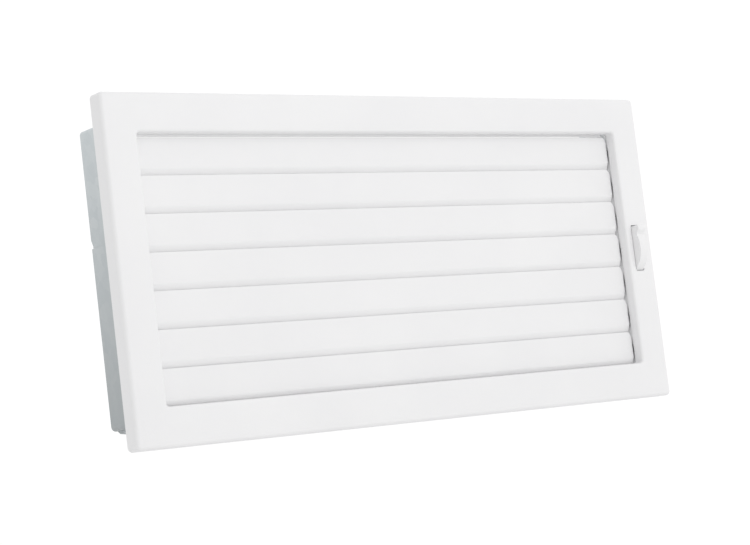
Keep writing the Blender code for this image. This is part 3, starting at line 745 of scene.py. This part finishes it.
def anchor_hole(x, side, half_height):
    """The cutter for the hole that a tongue leaves in the wall."""
    half = ANCHOR_WIDTH / 2 + ANCHOR_SLIT
    y = (ANCHOR_TIP[0] - ANCHOR_SLIT, ANCHOR_ROOT[0] - ANCHOR_LAP)
    z = (side * (half_height + CUT), side * (half_height - SLEEVE_SHEET - CUT))
    return box_mesh("anchor_hole", (x - half, x + half), y, z)


def wall_sleeve():
    """Rectangular sleeve of one bent strip, lapped and riveted on its left wall."""
    low, high = box_mm("wall_sleeve")
    top = high.z - ANCHOR_TIP[1]     # the tongues' tips are the box's highest and lowest points
    left, right = low.x, high.x
    inset = left + SLEEVE_SHEET + GAP
    corners = [(left, top), (right, top), (right, -top), (left, -top)]
    path = [(inset, LAP_Z[0]), (inset, LAP_RAMP[0]), (left, LAP_RAMP[1])]
    path += round_corners(corners, SLEEVE_CORNER_R, steps=8) + [(left, LAP_Z[1])]
    sleeve = bent_sheet("wall_sleeve", path, "XZ", (low.y, SLEEVE_BACK), SLEEVE_SHEET)
    anchors = [(x, -1) for x in BOTTOM_ANCHOR_X] + [(x, 1) for x in TOP_ANCHOR_X]
    cuts = [anchor_hole(x, side, top) for x, side in anchors]
    span = (left - CUT, inset + SLEEVE_SHEET + CUT)
    for node in ("lap_rivet_1", "lap_rivet_2"):
        centre = box_centre(node)
        cuts.append(plate("lap_hole", [circle((centre.y, centre.z), PIN_R + GAP)], "YZ", span))
    sleeve = combine(sleeve, "DIFFERENCE", cuts)
    sleeve = combine(sleeve, "UNION", [anchor_tab(x, side, top) for x, side in anchors])
    return softened(sleeve, SLEEVE_SOFT)


# ---------------------------------------------------------------- CAD shapes kept, with rounded edges

def refined(node, radius):
    """A CAD node's own shape with its triangles joined and its sharp edges rounded."""
    mesh = frame["nodes"][node].data.copy()
    bm = bmesh.new()
    bm.from_mesh(mesh)
    bmesh.ops.remove_doubles(bm, verts=bm.verts, dist=MERGE)
    join_flat_faces(bm)
    bm.to_mesh(mesh)
    bm.free()
    return softened(mesh, radius)


# ---------------------------------------------------------------- stage

def lay_floor():
    """Pale round floor below the grille."""
    bm = bmesh.new()
    bmesh.ops.create_circle(bm, cap_ends=True, radius=FLOOR_R, segments=96)
    bmesh.ops.translate(bm, vec=(0.0, 0.0, CAD_BOX[0][2] - FLOOR_DROP), verts=bm.verts)
    mesh = bpy.data.meshes.new("floor")
    bm.to_mesh(mesh)
    bm.free()
    made, tree, shader, place = new_finish("pale floor", metallic=0.0)
    tone = spread(tree, noise(tree, place, scale=3.0, detail=3.0), 0.0, 1.0)
    feed(tree, shader, {"Base Color": blend(tree, tone, PALE), "Roughness": 0.8})
    mesh.materials.append(made)
    floor = add_object("floor", mesh, bpy.context.scene.collection)


def light_surroundings():
    """White all round, a little dimmer on the left, in front and below."""
    world = bpy.data.worlds.new("studio")
    bpy.context.scene.world = world
    world.use_nodes = True
    tree = world.node_tree
    toward = node_of(tree, "ShaderNodeTexCoord").outputs["Generated"]
    axes = node_of(tree, "ShaderNodeSeparateXYZ", {"Vector": toward}).outputs
    from_left, from_front, from_below = (
        spread(tree, axes[axis], low, high, source)
        for axis, (low, high, source) in zip("XYZ", (FROM_LEFT, FROM_FRONT, FROM_BELOW)))
    strength = product(tree, product(tree, from_left, from_front), from_below)
    feed(tree, tree.nodes["Background"], {"Color": (1.0, 1.0, 1.0, 1.0), "Strength": strength})


def hang_lamp():
    """One broad soft light above and in front, aimed at the grille."""
    lamp = bpy.data.lights.new("soft_box", "AREA")
    lamp.shape = "RECTANGLE"
    lamp.size, lamp.size_y = LAMP_SIZE
    lamp.energy = LAMP_WATTS
    soft_box = add_object("soft_box", lamp, bpy.context.scene.collection)
    soft_box.location = LAMP_PLACE
    soft_box.rotation_euler = (-soft_box.location).to_track_quat("-Z", "Y").to_euler()


def place_camera():
    """The camera, where the photograph was taken from."""
    data = bpy.data.cameras.new("camera")
    data.lens = CAMERA_LENS
    data.sensor_width = CAMERA_SENSOR
    data.clip_start = CAMERA_CLIP
    camera = add_object("camera", data, bpy.context.scene.collection)
    forward = Vector(CAMERA_FORWARD).normalized()
    right = forward.cross(Vector(CAMERA_UP)).normalized()
    up = right.cross(forward)
    turn = Matrix((right, up, -forward)).transposed()
    camera.matrix_world = Matrix.Translation(CAMERA_PLACE) @ turn.to_4x4()
    bpy.context.scene.camera = camera


# ---------------------------------------------------------------- assembly

stand_for("front_flange", front_flange())
slat_mesh = slat()
for node in sorted(SLOT_OF):
    if node.startswith("slat_"):
        pivot = pivot_mm(node)
        stand_for(node, moved(slat_mesh, (0.0, pivot.y, pivot.z)))
    elif node.startswith("pivot_stud"):
        stand_for(node, pivot_stud(node))
    elif node.startswith("crank_pin"):
        stand_for(node, domed_pin(node, PIN_R, CRANK_PIN_GRIP))
    elif node.startswith("lap_rivet"):
        stand_for(node, domed_pin(node, PIN_R, LAP_RIVET_GRIP))
    elif node.startswith("spring_rivet"):
        stand_for(node, domed_pin(node, SPRING_RIVET_R, SPRING_RIVET_GRIP))
    elif node.startswith("leaf_spring") or node == "lever_ring":
        stand_for(node, refined(node, SPRING_SOFT))
    elif node in CARRIER_NODES:
        stand_for(node, refined(node, CARRIER_SOFT))
stand_for("link_bar", link_bar())
stand_for("thumb_lever", thumb_lever())
stand_for("wall_sleeve", wall_sleeve())
bpy.data.collections.remove(WORKBENCH)

lay_floor()
light_surroundings()
hang_lamp()
place_camera()
bpy.context.scene.view_settings.view_transform = "Standard"
